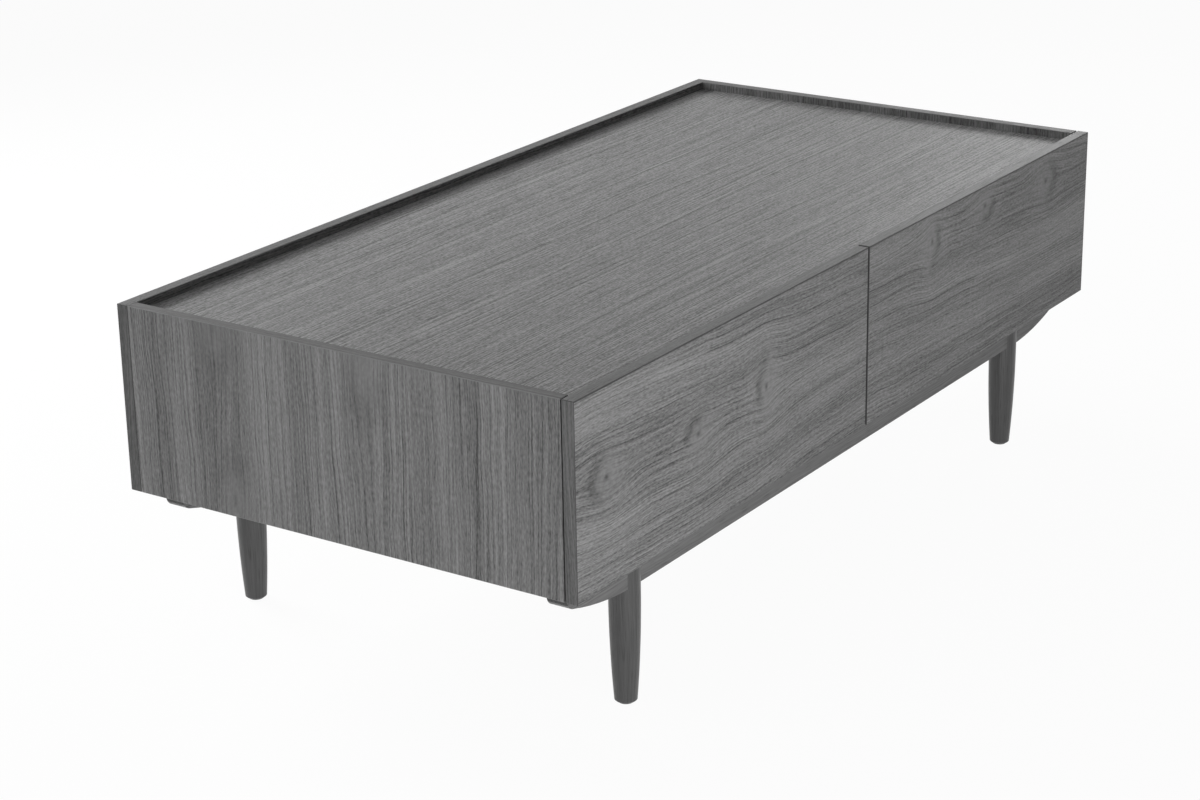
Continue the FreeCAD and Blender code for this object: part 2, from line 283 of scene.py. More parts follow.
def add_lamp(name, place, size, power):
    """An area lamp that shines on the table."""
    lamp = bpy.data.objects.new(name, bpy.data.lights.new(name, "AREA"))
    lamp.data.shape = "RECTANGLE"
    lamp.data.size, lamp.data.size_y = size
    lamp.data.energy = power
    lamp.data.spread = LAMP_SPREAD
    lamp.visible_camera = False
    lamp.location = place
    lamp.rotation_euler = (LAMP_TARGET - Vector(place)).to_track_quat("-Z", "Y").to_euler()
    bpy.context.scene.collection.objects.link(lamp)


for name, lamp in LAMPS.items():
    add_lamp(name, **lamp)
print(len(LAMPS), "lamps")

# %% [markdown]
# ## Node groups
#
# What several finishes share, such as the figure of wood, becomes a node group: it is built once, and every
# material that uses it can give it other numbers. The nodes could be copied into each material instead, but
# then a change would have to be made in all of them. One helper makes a group with its sockets, and another
# places it in a tree.

# %% Node groups
def new_group(name, inputs, outputs):
    """A shader node group, with its input wires by name and a function that feeds its outputs."""
    tree = bpy.data.node_groups.new(name, "ShaderNodeTree")
    for title, start in inputs.items():
        kind = "NodeSocketFloat" if isinstance(start, (int, float)) else "NodeSocketVector"
        tree.interface.new_socket(title, in_out="INPUT", socket_type=kind).default_value = start
    for title in outputs:
        tree.interface.new_socket(title, in_out="OUTPUT", socket_type="NodeSocketFloat")
    entry = add_node(tree, "NodeGroupInput")
    leaving = add_node(tree, "NodeGroupOutput")
    wires = {title: Wire(tree, entry.outputs[title]) for title in inputs}

    def give(**values):
        for title, value in values.items():
            feed(tree, value, leaving.inputs[title.replace("_", " ")])

    return tree, wires, give


def use_group(tree, group, **feeds):
    """Places a group in a tree and returns its outputs as wires by name."""
    feeds = {name.replace("_", " "): value for name, value in feeds.items()}
    node = add_node(tree, "ShaderNodeGroup", feeds, node_tree=group)
    return {socket.name: Wire(tree, socket) for socket in node.outputs}


print("helpers for groups:", new_group.__name__, "and", use_group.__name__)

# %% [markdown]
# ## Which way the grain runs
#
# Veneer is a thin sheet of wood glued on a board, and every narrow edge is covered by its own strip. So one
# board has several grain directions: along the sheet on its two faces, and along each strip on its edges. UV
# maps could say this, but the boards come without any. This group works it out from the position and the
# normal: it is given the board's grain, cross and thin directions, and puts out how far a point lies along
# the grain and across it. `Side strip` and `End strip` mark the edges along the grain and across its ends.
# Corners are broken by a small chamfer, which `Side edge` and `End edge` mark in the same way: a painted
# highlight lightens them where lacquer is also rubbed off first, or they darken where the glue of a strip
# shows. `Glue line` marks a thin line of glue on the face, at a place across the grain, and the last output
# marks what lies beyond a place along the grain, to be darkened there with painted shade.

# %% Board grain group
FLAT_ENOUGH, TILTED = 0.85, 0.3
GLUE_WIDTH = 0.0010
OUT_OF_REACH = 10.0


def dot(tree, first, second):
    """How far one vector reaches along another."""
    node = add_node(tree, "ShaderNodeVectorMath", {0: first, 1: second}, operation="DOT_PRODUCT")
    return Wire(tree, node.outputs["Value"])


board_grain, wires, give = new_group(
    "board_grain",
    {"Grain": (1, 0, 0), "Cross": (0, 1, 0), "Thin": (0, 0, 1), "Along start": 0.0, "Across start": 0.0,
     "Glue line at": OUT_OF_REACH, "Stained from": OUT_OF_REACH},
    ["Along", "Across", "Side strip", "End strip", "Side edge", "End edge", "Glue line", "Stained end"],
)
point = add_node(board_grain, "ShaderNodeTexCoord").outputs
directions = ("Grain", "Cross", "Thin")
far = {d: dot(board_grain, point["Object"], wires[d]) for d in directions}
facing = {d: abs(dot(board_grain, point["Normal"], wires[d])) for d in directions}
on_end = facing["Grain"].maths("GREATER_THAN", FLAT_ENOUGH)
on_face = facing["Thin"].maths("GREATER_THAN", FLAT_ENOUGH)
flattest = facing["Grain"].maths("MAXIMUM", facing["Cross"]).maths("MAXIMUM", facing["Thin"])
broken = flattest.maths("LESS_THAN", FLAT_ENOUGH)
broken_end = broken * facing["Grain"].maths("GREATER_THAN", TILTED)
give(
    Along=far["Grain"] + on_end * (far["Cross"] - far["Grain"]) + wires["Along start"],
    Across=far["Thin"] + on_face * (far["Cross"] - far["Thin"]) + wires["Across start"],
    Side_strip=facing["Cross"].maths("GREATER_THAN", FLAT_ENOUGH),
    End_strip=on_end,
    Side_edge=broken - broken_end,
    End_edge=broken_end,
    Glue_line=on_face * abs(far["Cross"] - wires["Glue line at"]).maths("LESS_THAN", GLUE_WIDTH),
    Stained_end=far["Grain"].maths("GREATER_THAN", wires["Stained from"]),
)
print("group", board_grain.name)

# %% [markdown]
# ## How the grain sways
#
# Grain lines are seldom straight: slow noise, stretched along the grain, pushes them up and down. Blender's
# noise is the same in every direction, so the point where it is read is scaled instead, by a few waves in a
# metre along the grain and by more across it. The third coordinate is kept for a seed, which gives every
# board and every pattern a layer of its own.

# %% Noise and sway group
NOISE_MIDDLE = 0.5
SLOW_WAVES, QUICK_WAVES = (1.6, 5.0), (12.0, 16.0)
QUICK_LAYER = 4.7


def noise(tree, x, y, z, detail=0.0, roughness=0.5):
    """Smooth noise from 0 to 1 at a point of three wires or numbers."""
    point = add_node(tree, "ShaderNodeCombineXYZ", {"X": x, "Y": y, "Z": z}).outputs[0]
    feeds = {"Vector": point, "Scale": 1.0, "Detail": detail, "Roughness": roughness}
    return Wire(tree, add_node(tree, "ShaderNodeTexNoise", feeds).outputs["Fac"])


def grain_noise(tree, along, across, waves, seed, **kind):
    """Noise around 0, with so many waves in a metre along and across the grain."""
    return noise(tree, along * waves[0], across * waves[1], seed, **kind) - NOISE_MIDDLE


grain_sway, wires, give = new_group(
    "grain_sway", {"Along": 0.0, "Across": 0.0, "Sway": 0.02, "Ripple": 0.004, "Seed": 0.0}, ["Flow"]
)
along, across, seed = wires["Along"], wires["Across"], wires["Seed"]
slow = grain_noise(grain_sway, along, across, SLOW_WAVES, seed) / NOISE_MIDDLE
quick = grain_noise(grain_sway, along, across, QUICK_WAVES, seed + QUICK_LAYER, detail=1.0) / NOISE_MIDDLE
give(Flow=across + slow * wires["Sway"] + quick * wires["Ripple"])
print("group", grain_sway.name)

# %% [markdown]
# ## How the grain flows round a knot
#
# Where a branch grew, the fibres part and close again behind it, as water does round a pile. They could be
# drawn as curves, but a formula bends every pattern at once: this group uses that of a stream round a round
# pile, softened in the middle. `Push` is how far the grain moves aside. `Shade` darkens the heart of the
# knot and a swirl on one side of it, and lightens the wood around. `Calm` is 1 at the heart and fades to 0:
# the wood close to a knot shows hardly any lines.

# %% Knot group
KNOT_SOFTNESS = 1.8
HEART_SHARPNESS, HALO_SHARPNESS, CALM_SHARPNESS = 20.0, 0.14, 0.30
SWIRL_RADIUS, SWIRL_WIDTH = 1.35, 0.55
SWIRL_START, SWIRL_FULL = -0.2, 0.9
HEART_SHADE, SWIRL_SHADE, HALO_SHADE = 0.5, 0.34, 0.14
WOBBLE_WAVES, WOBBLE_LAYER = (60.0, 90.0), 2.2
LEAST_SPREAD, LEAST_RADIUS = 0.001, 0.2

knot_in_grain, wires, give = new_group(
    "knot_in_grain",
    {"Along": 0.0, "Across": 0.0, "Knot along": 0.0, "Knot across": 0.0, "Size": 0.01, "Stretch": 2.0,
     "Reach": 1.0, "Swirl along": 1.0, "Swirl across": 0.0, "Strength": 1.0},
    ["Push", "Shade", "Calm"],
)
along, across, size = wires["Along"], wires["Across"], wires["Size"]
beside = (along - wires["Knot along"]) / (size * wires["Stretch"])
above = (across - wires["Knot across"]) / size
wobble = grain_noise(knot_in_grain, along, across, WOBBLE_WAVES, WOBBLE_LAYER, detail=1.0)
spread_square = beside * beside + above * above
knot_radius = (spread_square + LEAST_SPREAD) ** 0.5 + wobble
heart = (spread_square * -HEART_SHARPNESS).maths("EXPONENT")
halo = (spread_square * -HALO_SHARPNESS).maths("EXPONENT")
off_ring = (knot_radius - SWIRL_RADIUS) / SWIRL_WIDTH
ring = (off_ring * off_ring * -1.0).maths("EXPONENT")
swirl_side = (beside * wires["Swirl along"] + above * wires["Swirl across"]) / (knot_radius + LEAST_RADIUS)
swirl = ring * swirl_side.spread(SWIRL_START, SWIRL_FULL)
give(
    Push=above * size * -1.0 / (spread_square / wires["Reach"] ** 2.0 + KNOT_SOFTNESS),
    Shade=(heart * HEART_SHADE + swirl * SWIRL_SHADE - halo * HALO_SHADE) * wires["Strength"],
    Calm=(spread_square * -CALM_SHARPNESS).maths("EXPONENT"),
)
print("group", knot_in_grain.name)

# %% [markdown]
# ## The figure of the wood
#
# Cut wood shows several patterns at once: broad light and dark bands, a late-wood line at the end of each
# year's growth, fainter lines between those, long streaks, short fibres, small flecks, and pores that look
# like scratches. A single wave texture gives only stripes of one strength. Here each line gets its own
# strength, rises slowly and ends sharply, and fades in and out along the board.

# %% Wood figure group and its growth lines
FINE_LINES_PER_YEAR = 2.7
DRIFT_ALONG, DRIFT_IN_LINES = 1.3, 3.0
LINE_STEP, LINE_FADES, STRENGTH_LAYER = 7.31, 1.7, 2.1
FAINT, STRONG = 0.34, 0.66
LAYERS = {"line": 1.3, "fine": 6.6, "band": 3.9, "streak": 8.8, "fibre": 5.2, "fleck": 2.8, "pore": 9.4}

wood_figure, wires, give = new_group(
    "wood_figure",
    {"Along": 0.0, "Across": 0.0, "Sway": 0.01, "Ripple": 0.004, "Spacing": 0.012, "Lines": 0.5,
     "Fine lines": 0.4, "Bands": 0.5, "Streaks": 0.5, "Fibres": 0.3, "Pores": 0.1, "Flecks": 0.0,
     "Fineness": 1.0, "Seed": 0.0},
    ["Tone", "Pore", "Height"],
)
along, layer = wires["Along"], {name: wires["Seed"] + step for name, step in LAYERS.items()}
sway_feeds = {title: wires[title] for title in ("Along", "Across", "Sway", "Ripple", "Seed")}
flow = use_group(wood_figure, grain_sway, **sway_feeds)["Flow"]


def growth_lines(spacing, seed, rise, drift_across):
    """Lines across the flow, each with its own strength that fades along the board; about 0 on average."""
    drift = noise(wood_figure, along * DRIFT_ALONG, flow * drift_across, seed)
    place = flow / spacing + drift * DRIFT_IN_LINES
    number = place.maths("FLOOR")
    strength = noise(wood_figure, number * LINE_STEP, along * LINE_FADES, seed + STRENGTH_LAYER)
    return ((place - number) ** rise - 1.0 / (rise + 1.0)) * strength.spread(FAINT, STRONG)


fine_spacing = wires["Spacing"] / FINE_LINES_PER_YEAR
line = growth_lines(wires["Spacing"], layer["line"], rise=5.0, drift_across=28.0)
fine = growth_lines(fine_spacing, layer["fine"], rise=2.5, drift_across=70.0)
print("growth lines,", FINE_LINES_PER_YEAR, "fine ones in a year")

# %% [markdown]
# The other patterns are noise of different lengths and widths. `Fineness` makes the narrow ones still
# narrower. `Tone` is about a half all over; `Height` goes to a Bump node, and `Pore` makes pores duller than
# the wood between them.

# %% Other patterns of the figure
MIDDLE_TONE = 0.5
BAND_WAVES, STREAK_WAVES, FIBRE_WAVES = (0.9, 26.0), (6.0, 500.0), (42.0, 1100.0)
FLECK_WAVES, PORE_WAVES = (170.0, 650.0), (42.0, 900.0)
PORE_START, PORE_FULL = 0.10, 0.26
STREAK_HEIGHT, FIBRE_HEIGHT, PORE_DEPTH, LINE_DEPTH = 0.5, 0.25, 0.5, 0.5

fine_flow = flow * wires["Fineness"]
band = grain_noise(wood_figure, along, flow, BAND_WAVES, layer["band"], detail=2.0)
streak = grain_noise(wood_figure, along, fine_flow, STREAK_WAVES, layer["streak"], detail=2.0, roughness=0.6)
fibre = grain_noise(wood_figure, along, fine_flow, FIBRE_WAVES, layer["fibre"], detail=1.0)
fleck = grain_noise(wood_figure, along, flow, FLECK_WAVES, layer["fleck"], detail=1.0)
pore = grain_noise(wood_figure, along, fine_flow, PORE_WAVES, layer["pore"]).spread(PORE_START, PORE_FULL)
grown = band * wires["Bands"] - line * wires["Lines"] - fine * wires["Fine lines"]
cut = streak * wires["Streaks"] + fibre * wires["Fibres"] + fleck * wires["Flecks"] - pore * wires["Pores"]
give(
    Tone=grown + cut + MIDDLE_TONE,
    Pore=pore,
    Height=streak * STREAK_HEIGHT + fibre * FIBRE_HEIGHT - pore * PORE_DEPTH - line * LINE_DEPTH,
)
print("group", wood_figure.name)

# %% [markdown]
# ## Clouds
#
# Nothing in a house is even. Hands and cloths leave faint clouds in a lacquer's gloss, sprayed paint dries
# to an orange peel, and felt is matted in tufts. All of these are noise of different sizes, so one small
# group serves them: large clouds go to a roughness, small ones to a bump.

# %% Clouds group
CLOUD_DETAIL = 4.0

clouds, wires, give = new_group("clouds", {"Size": 0.08, "Amount": 0.1}, ["Change"])
spot = add_node(clouds, "ShaderNodeTexCoord").outputs["Object"]
scale = add_node(clouds, "ShaderNodeMath", {0: 1.0, 1: wires["Size"]}, operation="DIVIDE").outputs[0]
puffs = add_node(clouds, "ShaderNodeTexNoise", {"Vector": spot, "Scale": scale, "Detail": CLOUD_DETAIL})
puff = Wire(clouds, puffs.outputs["Fac"]) - NOISE_MIDDLE
give(Change=puff / NOISE_MIDDLE * wires["Amount"])


def cloud(tree, size, amount):
    """Clouds of a size in metres, which change a value by the amount at most."""
    return use_group(tree, clouds, Size=size, Amount=amount)["Change"]


print("group", clouds.name)

# %% [markdown]
# ## A finish and its parts
#
# Every finish on the table is one Principled shader with a colour between two greys, a roughness and a
# relief. The Bump node that makes the relief could be replaced by real bumps in the mesh, but grain is
# thinner than a hair, and only its shading shows.

# %% Finishes
def new_finish(name, **shader):
    """A material with a Principled shader, whose sockets take values by name."""
    finish = bpy.data.materials.new(name)
    finish.use_nodes = True
    tree = finish.node_tree
    tree.nodes.clear()
    feeds = {title.replace("_", " "): value for title, value in shader.items()}
    bsdf = add_node(tree, "ShaderNodeBsdfPrincipled", feeds)
    add_node(tree, "ShaderNodeOutputMaterial", {"Surface": bsdf.outputs[0]})
    return finish, tree, bsdf


def two_tone(tree, bsdf, tone, dark, light):
    """Colours the surface between two greys."""
    feeds = {"Factor": tone, "A": grey(dark), "B": grey(light)}
    mixed = add_node(tree, "ShaderNodeMix", feeds, data_type="RGBA")
    feed(tree, mixed.outputs["Result"], bsdf.inputs["Base Color"])


def relief(tree, bsdf, height, depth):
    """Lets the surface look as if it had the height, which is that many metres deep."""
    bump = add_node(tree, "ShaderNodeBump", {"Height": height, "Distance": depth})
    feed(tree, bump.outputs[0], bsdf.inputs["Normal"])


print("helpers for finishes:", new_finish.__name__, two_tone.__name__, relief.__name__)

# %% [markdown]
# ## Veneer for each board
#
# All the boards share one grey-stained veneer under a satin lacquer, but the sheets differ: the top is a
# calm, straight sheet, the ends stand upright with long lines, and the drawer fronts are lively with knots.
# A material for each could be built by hand. Here one function makes them all, and each board gives it
# directions, line spacing, strengths and knots. The strips on the edges are darker and calmer than the
# faces.

# %% Veneer function
VENEER_TONES = 0.055, 0.325
STRIP_SHADES = 0.36, 0.36
STRIP_CALM, KNOT_CALM = 0.6, 0.65
# Negative edge numbers lighten a chamfer: a painted highlight, where lacquer is also rubbed off first.
EDGE_WEAR_AND_HIGHLIGHTS = -0.24, -0.24
# The first number is painted shade on the fronts' ends that face each other across the gap; the second
# darkens the glue line.
PAINTED_GAP_SHADE, GLUE = 0.75, 0.6
LACQUER_ROUGHNESS, LACQUER_SHINE = 0.44, 0.15
PORE_ROUGHNESS = 0.14
GRAIN_RELIEF = 0.00015
HAND_MARKS = {"size": 0.12, "amount": 0.06}


def veneer(name, grain, cross, thin, seed, figure, knots=(), start=(0.0, 0.0), tones=VENEER_TONES,
           roughness=LACQUER_ROUGHNESS, strips=STRIP_SHADES, edges=EDGE_WEAR_AND_HIGHLIGHTS, glue_line=OUT_OF_REACH,
           painted_shade_from=OUT_OF_REACH):
    """Veneer on a board with the given directions; figure feeds the wood figure group, strips darken the
    narrow sides along the grain and across its ends, edges lighten their chamfers with a painted highlight
    or darken them where glue shows, glue also shows in a line at a place across the grain, and painted
    shade darkens the wood beyond a place along it."""
    finish, tree, bsdf = new_finish(name, Specular_IOR_Level=LACQUER_SHINE)
    sheet = use_group(tree, board_grain, Grain=grain, Cross=cross, Thin=thin, Along_start=start[0],
                      Across_start=start[1], Glue_line_at=glue_line, Stained_from=painted_shade_from)
    across = sheet["Across"]
    shade = sheet["Side strip"] * strips[0] + sheet["End strip"] * strips[1]
    shade = shade + sheet["Side edge"] * edges[0] + sheet["End edge"] * edges[1]
    # Beyond the given place along the grain, painted shade stands for the shade inside the gap between the
    # drawers.
    shade = shade + sheet["Glue line"] * GLUE + sheet["Stained end"] * PAINTED_GAP_SHADE
    liveliness = (sheet["Side strip"] + sheet["End strip"]) * -STRIP_CALM + 1.0
    for (knot_along, knot_across), size, stretch, reach, swirl, strength in knots:
        knot = use_group(tree, knot_in_grain, Along=sheet["Along"], Across=sheet["Across"],
                         Knot_along=knot_along, Knot_across=knot_across, Size=size, Stretch=stretch,
                         Reach=reach, Swirl_along=swirl[0], Swirl_across=swirl[1], Strength=strength)
        across = across + knot["Push"]
        shade = shade + knot["Shade"]
        liveliness = liveliness - liveliness * knot["Calm"] * KNOT_CALM
    wood = use_group(tree, wood_figure, Along=sheet["Along"], Across=across, Seed=seed, **figure)
    two_tone(tree, bsdf, (wood["Tone"] - MIDDLE_TONE) * liveliness + MIDDLE_TONE - shade, *tones)
    gloss = wood["Pore"] * PORE_ROUGHNESS + cloud(tree, **HAND_MARKS) + roughness
    feed(tree, gloss, bsdf.inputs["Roughness"])
    relief(tree, bsdf, wood["Height"], GRAIN_RELIEF)
    return finish


print("veneer from grey", *VENEER_TONES)

# %% [markdown]
# The numbers below were set by looking at each board beside the photograph. A figure says how far the grain
# sways, how far apart its lines are, and how strong each pattern is. A knot is given by its place along and
# across the grain, its half-height, how much longer than high it is, how many half-heights away it still
# parts the grain, the side that its swirl is on, and how dark it is.

# %% Figures and knots
LIVELY = {
    "Sway": 0.020, "Ripple": 0.0035, "Spacing": 0.0110, "Lines": 0.30, "Fine_lines": 0.46, "Bands": 0.90,
    "Streaks": 0.90, "Fibres": 0.60, "Pores": 0.14, "Flecks": 1.00,
}
UPRIGHT = {
    "Sway": 0.014, "Ripple": 0.003, "Spacing": 0.0110, "Lines": 0.36, "Fine_lines": 0.50, "Bands": 0.90,
    "Streaks": 0.50, "Fibres": 0.50, "Pores": 0.12, "Flecks": 0.80,
}
CALM = {
    "Sway": 0.010, "Ripple": 0.003, "Spacing": 0.0100, "Lines": 0.30, "Fine_lines": 0.40, "Bands": 0.35,
    "Streaks": 0.60, "Fibres": 0.35, "Pores": 0.14,
}
STRAIGHT = {
    "Sway": 0.005, "Ripple": 0.001, "Spacing": 0.0145, "Lines": 0.26, "Fine_lines": 0.78, "Bands": 0.15,
    "Streaks": 1.20, "Fibres": 0.90, "Pores": 0.30, "Flecks": 1.60, "Fineness": 1.2,
}
FRONT_KNOTS = [
    ((-0.545, 0.298), 0.016, 1.2, 1.5, (-1.0, 0.2), 0.9),
    ((-0.370, 0.287), 0.012, 1.4, 1.8, (-0.7, 0.7), 1.0),
    ((-0.230, 0.297), 0.018, 0.7, 1.3, (-1.0, 0.3), 1.0),
]
END_KNOTS = [
    ((0.392, 0.163), 0.016, 2.4, 1.4, (-1.0, 0.0), 0.3),
    ((0.196, 0.146), 0.013, 2.6, 1.4, (1.0, 0.0), 0.4),
    ((0.405, -0.040), 0.017, 3.2, 1.4, (-1.0, 0.0), 0.4),
]
print(len(FRONT_KNOTS), "knots in a front,", len(END_KNOTS), "in the near end")

# %% [markdown]
# The two fronts were cut from one sheet and one of them turned upside down, so the right one uses the left
# one's knots with both directions reversed. Glue shows as a thin dark line below their upper edges. Their
# ends that face each other are darkened with painted shade, for the shade inside the gap between the
# drawers, which makes the gap a crisp line.

# %% Drawer fronts
X, Y, Z = (1, 0, 0), (0, 1, 0), (0, 0, 1)
# The painted shade of the gap starts this far before each front's inner end.
GLUE_BELOW_EDGE, PAINTED_GAP_SHADE_REACH = 0.0006, 0.0007
TURNED_START = -0.072, 0.657


def dress(finish, *names):
    """Gives the finish to CAD pieces."""
    for name in names:
        for slot in nodes[name].material_slots:
            slot.material = finish


front_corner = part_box("left_drawer_front")[1]
glue_height = front_corner.z - GLUE_BELOW_EDGE
front_sheet = {
    "seed": 33.3, "figure": LIVELY, "knots": FRONT_KNOTS, "strips": (0.26, 0.28), "edges": (0.7, 0.7),
    "painted_shade_from": front_corner.x - PAINTED_GAP_SHADE_REACH,
}
half_turn = {
    "grain": (-1, 0, 0), "cross": (0, 0, -1), "thin": Y, "start": TURNED_START, "glue_line": -glue_height,
}
dress(veneer("left_front_veneer", X, Z, Y, glue_line=glue_height, **front_sheet), "left_drawer_front")
dress(veneer("right_front_veneer", **half_turn, **front_sheet), "right_drawer_front")
# Prints where the painted shade of the gap starts.
print("glue line at", round(glue_height, 4), "m, painted shade from", round(front_sheet["painted_shade_from"], 4), "m")

# %% [markdown]
# The other boards follow. Grain runs upright on the two ends, along the table on the top, back and rails,
# and from front to back on the divider. The rails lie in the shade of the box, and their darker greys are
# painted shade.

# %% Other veneered boards
# Painted shade: the rails' greys are darker for the shade under the box.
RAIL_TONES_WITH_PAINTED_SHADE = 0.043, 0.250
# Negative edge numbers are a painted highlight on the chamfer; positive ones darken it where glue shows.
END_EDGES, BACK_EDGES = (0.1, -0.24), (-0.1, 0.7)
# The divider's darker end strip is painted shade, for the shade seen through the gap between the drawers.
BACK_STRIPS, DIVIDER_STRIPS_WITH_PAINTED_GAP_SHADE = (0.36, 0.34), (0.36, 0.60)

boards = {
    "left_end_panel": veneer("left_end_veneer", Z, Y, X, 5.2, UPRIGHT, END_KNOTS, edges=END_EDGES),
    "right_end_panel": veneer("right_end_veneer", Z, Y, X, 6.9, UPRIGHT, edges=END_EDGES),
    "back_panel": veneer("back_veneer", X, Z, Y, 7.7, LIVELY, strips=BACK_STRIPS, edges=BACK_EDGES),
    "top_panel": veneer("top_veneer", X, Y, Z, 8.3, STRAIGHT),
    "bottom_panel": veneer("underside_veneer", X, Y, Z, 2.4, CALM),
    "centre_divider": veneer("divider_veneer", Y, Z, X, 1.6, CALM, strips=DIVIDER_STRIPS_WITH_PAINTED_GAP_SHADE),
    "front_rail": veneer("front_rail_veneer", X, Z, Y, 4.5, CALM, tones=RAIL_TONES_WITH_PAINTED_SHADE),
    "rear_rail": veneer("rear_rail_veneer", X, Z, Y, 6.2, CALM, tones=RAIL_TONES_WITH_PAINTED_SHADE),
}
for board, finish in boards.items():
    dress(finish, board)
print(len(boards), "more boards are veneered")

# %% [markdown]
# ## A lathe
#
# The legs are turned from solid wood on a lathe, and so are the patterns of rollers and screws. A Screw
# modifier could do the same in Blender, but `bmesh.ops.spin` gives a plain mesh at once: an outline of
# (radius, height) points is spun round the Z axis, and the points that meet are merged.

# %% Lathe
MERGE_WITHIN = 1e-7
SHARPEST = math.radians(35.0)


def spun(name, outline, steps=72, ring=False):
    """An object turned about its own Z axis; ring joins the outline's last point to its first."""
    bm = bmesh.new()
    corners = [bm.verts.new((radius, 0.0, height)) for radius, height in outline]
    pairs = list(zip(corners, corners[1:])) + ([(corners[-1], corners[0])] if ring else [])
    edges = [bm.edges.new(pair) for pair in pairs]
    bmesh.ops.spin(bm, geom=corners + edges, cent=(0, 0, 0), axis=(0, 0, 1), angle=2 * math.pi, steps=steps,
                   use_merge=True)
    bmesh.ops.remove_doubles(bm, verts=bm.verts, dist=MERGE_WITHIN)
    bmesh.ops.recalc_face_normals(bm, faces=bm.faces)
    return piece_from(bm, name)


def smooth(piece):
    """Shades the piece smooth, apart from its sharp edges."""
    piece.data.shade_smooth()
    piece.data.set_sharp_from_angle(angle=SHARPEST)


print("helpers for turned pieces:", spun.__name__, "and", smooth.__name__)

# %% [markdown]
# ## A saw
#
# Slots, recesses and pockets are cut out of turned pieces. A Boolean modifier does this, with a block or
# another turned piece as the cutter. Its result is kept as a plain mesh, and the cutters are thrown away, so
# that nothing hidden is left in the scene.

# %% Saw
def block(name, corner, opposite):
    """A plain box between two corners, used as a cutter."""
    bm = bmesh.new()
    bmesh.ops.create_cube(bm, size=1.0)
    corner, opposite = Vector(corner), Vector(opposite)
    bmesh.ops.scale(bm, vec=opposite - corner, verts=bm.verts)
    bmesh.ops.translate(bm, vec=(corner + opposite) / 2, verts=bm.verts)
    return piece_from(bm, name)


def saw(piece, *cutters):
    """Takes the cutters' volumes out of the piece and throws the cutters away."""
    for cutter in cutters:
        modifier = piece.modifiers.new("saw", "BOOLEAN")
        modifier.operation = "DIFFERENCE"
        modifier.solver = "EXACT"
        modifier.object = cutter
    whole = piece.data
    sawn = piece.evaluated_get(bpy.context.evaluated_depsgraph_get())
    piece.data = bpy.data.meshes.new_from_object(sawn)
    piece.data.name = piece.name
    piece.modifiers.clear()
    bpy.data.meshes.remove(whole)
    for cutter in cutters:
        bpy.data.meshes.remove(cutter.data)


print("helpers for cuts:", block.__name__, "and", saw.__name__)

# %% [markdown]
# ## Wood for the legs
#
# The legs are turned from straight-grained solid wood, so fine lines run down them on every side. Rings
# about the heart of the tree could be cut through by the leg's outline, but on a taper they show as large
# loops. So the figure is wrapped round the leg instead: the angle about its axis, as a length on its
# surface, takes the place of the distance across a sheet. The two ends of the wrap meet on the side that
# faces the middle of the table.

# %% Turned wood
LEG_TONES = 0.018, 0.094
LEG_ROUGHNESS = 0.36
LEG_MARKS = {"size": 0.05, "amount": 0.06}
LEG_FIGURE = {
    "Sway": 0.006, "Ripple": 0.002, "Spacing": 0.0042, "Lines": 0.10, "Fine_lines": 0.18, "Bands": 0.30,
    "Streaks": 0.80, "Fibres": 0.60, "Pores": 0.25, "Seed": 12.5,
}
WRAP_RADIUS = 0.0175


def own_place(tree):
    """Wires for a point's three coordinates in its own object."""
    point = add_node(tree, "ShaderNodeTexCoord").outputs["Object"]
    return [Wire(tree, socket) for socket in add_node(tree, "ShaderNodeSeparateXYZ", {0: point}).outputs]


leg_wood, tree, bsdf = new_finish("leg_wood")
x, y, z = own_place(tree)
around = y.maths("ARCTAN2", x * -1.0) * WRAP_RADIUS
wood = use_group(tree, wood_figure, Along=z, Across=around, **LEG_FIGURE)
two_tone(tree, bsdf, wood["Tone"], *LEG_TONES)
gloss = wood["Pore"] * PORE_ROUGHNESS + cloud(tree, **LEG_MARKS) + LEG_ROUGHNESS
feed(tree, gloss, bsdf.inputs["Roughness"])
relief(tree, bsdf, wood["Height"], GRAIN_RELIEF)
print("finish", leg_wood.name)

# %% [markdown]
# ## Turned legs
#
# Each leg is straight at the top and then swells down to the foot in a slow taper. The outline could be a
# list of points, but as a formula it is smooth at any number of them. Only the foot's diameter, its bevel
# and the length of the straight part are given; the rest is measured on the CAD legs and rail.

# %% Outline of a leg
FOOT_DIAMETER = 0.025
FOOT_BEVEL = 0.0015
LEG_STRAIGHT = 0.052
TAPER_POINTS = 28

leg_low, leg_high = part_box("front_legs")
rail_low, rail_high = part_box("front_rail")
leg_radius = (leg_high.y - leg_low.y) / 2
taper_top = leg_high.z - LEG_STRAIGHT
taper_start = leg_low.z + FOOT_BEVEL


def taper_radius(height):
    """The swelling taper: the foot's radius at the foot, and tangent to the straight part above."""
    below = (taper_top - height) / (taper_top - leg_low.z)
    return leg_radius - (leg_radius - FOOT_DIAMETER / 2) * below ** 2


taper_heights = [taper_start + (taper_top - taper_start) * k / TAPER_POINTS for k in range(TAPER_POINTS + 1)]
leg_outline = [(0.0, leg_low.z), (taper_radius(taper_start) - FOOT_BEVEL, leg_low.z)]
leg_outline += [(taper_radius(height), height) for height in taper_heights]
leg_outline += [(leg_radius, rail_low.z), (leg_radius, leg_high.z), (0.0, leg_high.z)]
print("leg of", round(leg_high.z - leg_low.z, 4), "m with", len(leg_outline), "points")

# %% [markdown]
# A slot sawn across the top lets the leg straddle its rail. Four smooth legs stand in for the coarser CAD
# ones. Mirrored copies would do as well, but each leg is turned from its own mesh and set with half a turn
# on the right, so that the wrap of its figure meets on the inner side.

# %% Legs
SAW_REACH, SAW_CLEARANCE = 0.1, 0.01

leg_axis_x = leg_high.x - leg_radius
half_slot = (rail_high.y - rail_low.y) / 2


